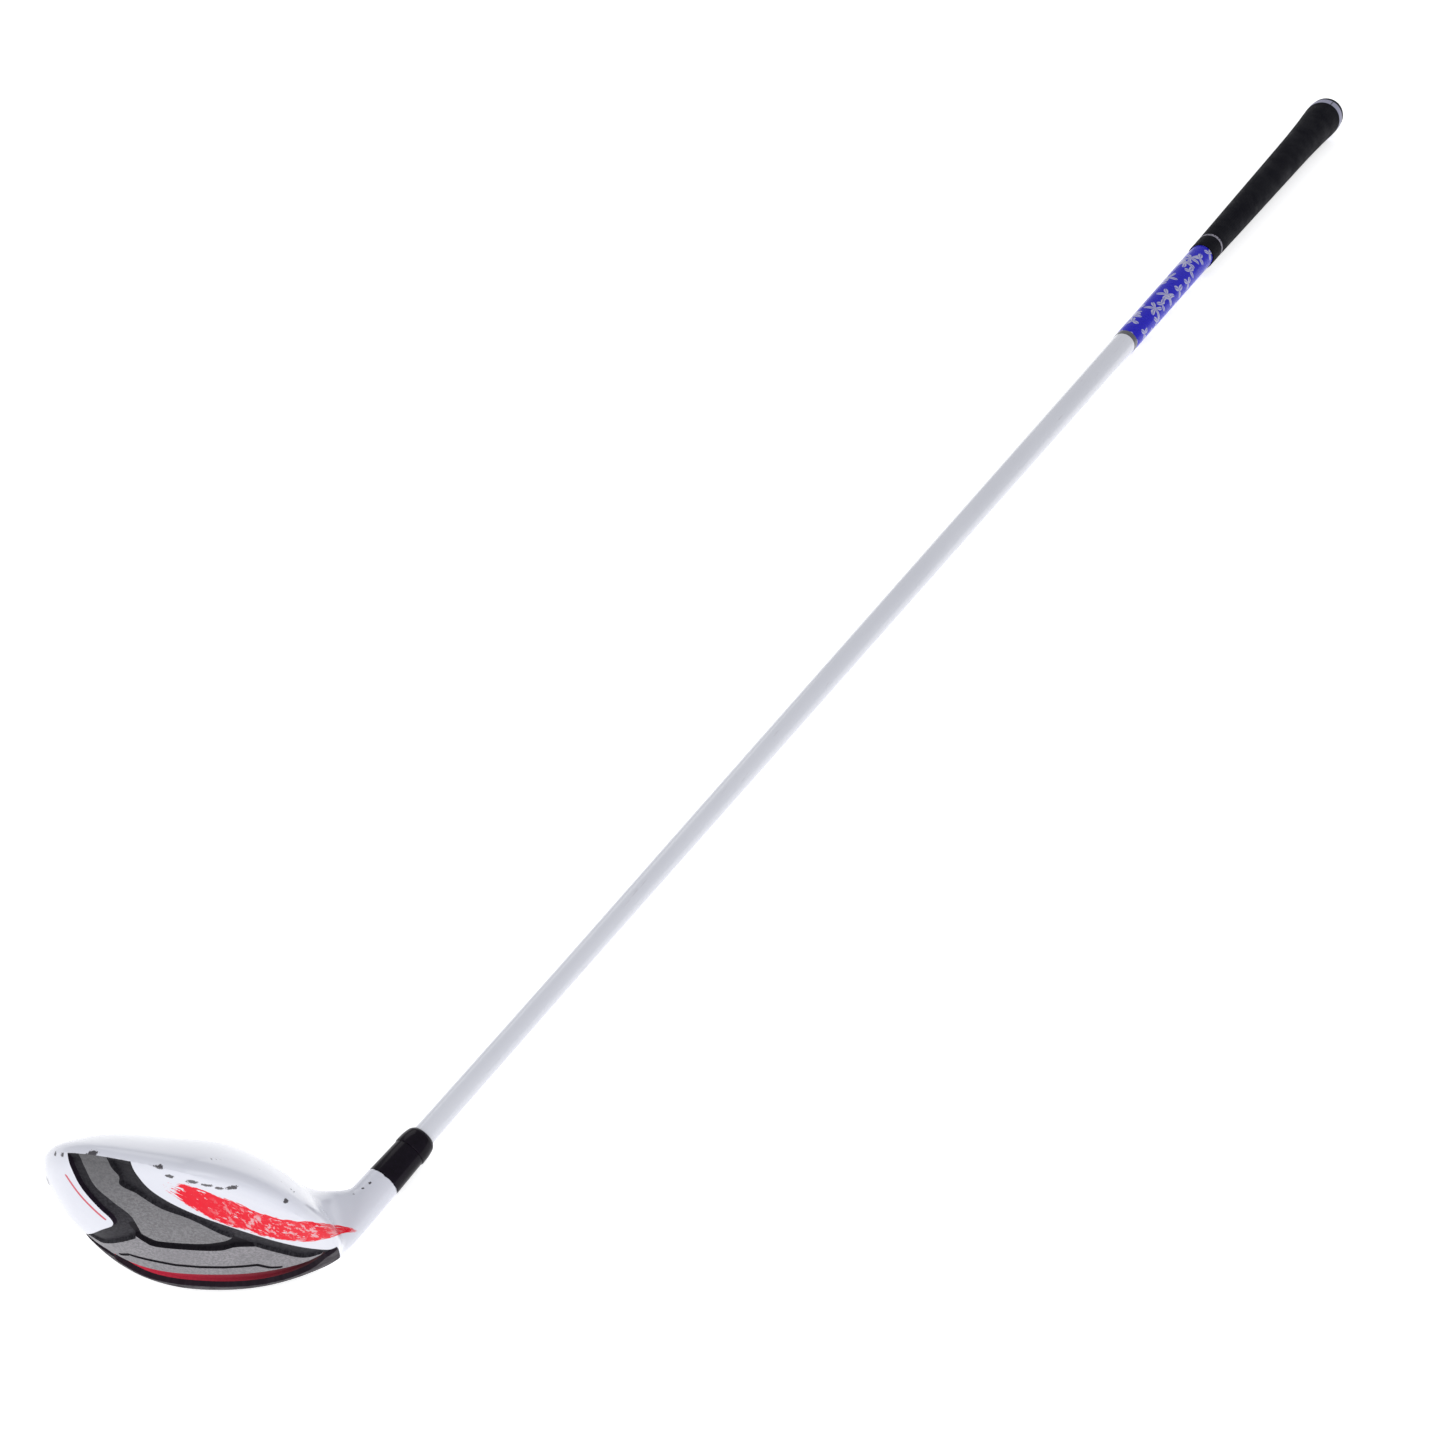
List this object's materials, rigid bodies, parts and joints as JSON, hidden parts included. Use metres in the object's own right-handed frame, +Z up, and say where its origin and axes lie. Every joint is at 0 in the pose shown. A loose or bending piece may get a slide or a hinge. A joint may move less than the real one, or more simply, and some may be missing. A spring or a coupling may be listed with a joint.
{
  "type": "golf fairway wood",
  "caption": "Left-handed golf wood with a hollow metal head, slotted sole, white tapered shaft and black slip-on grip, lying face down.",
  "frame": {"origin": "on the ground under the middle of the bounding box of the club lying face down", "axes": "+X along the club from head to grip, +Z up, +Y towards the toe side of the head"},
  "size_m": [1.094, 0.0932, 0.0794],
  "materials": {
    "white_paint": "gloss",
    "face_paint": "satin",
    "red_insert": "satin",
    "sole_grey": "satin metallic",
    "bare_steel": "raw",
    "hot_melt": "satin",
    "epoxy": "gloss",
    "shaft_white": "gloss",
    "tip_weight": "raw",
    "dam_foam": "matte",
    "ferrule_black": "gloss",
    "decal_grey": "satin",
    "decal_blue": "satin",
    "tape": "matte",
    "grip_rubber": "matte",
    "grip_grey": "matte"
  },
  "bodies": {
    "root": {"head_body": "white_paint", "crown_shell": "white_paint", "cup_face": "face_paint", "slot_insert": "red_insert", "sole_front_bar": "sole_grey", "sole_centre_panel": "sole_grey", "sole_weight_pad": "bare_steel", "hot_melt_pad": "hot_melt", "hosel_epoxy": "epoxy", "shaft_tube": "shaft_white", "tip_weight": "tip_weight", "glue_dam": "dam_foam", "ferrule": "ferrule_black", "ferrule_collar": "ferrule_black", "decal_ring": "decal_grey", "shaft_decal_band": "decal_blue", "grip_tape": "tape", "grip_sleeve": "grip_rubber", "grip_mark_ring": "grip_grey", "cap_band": "grip_grey", "grip_cap": "grip_rubber"}
  },
  "joints": []
}
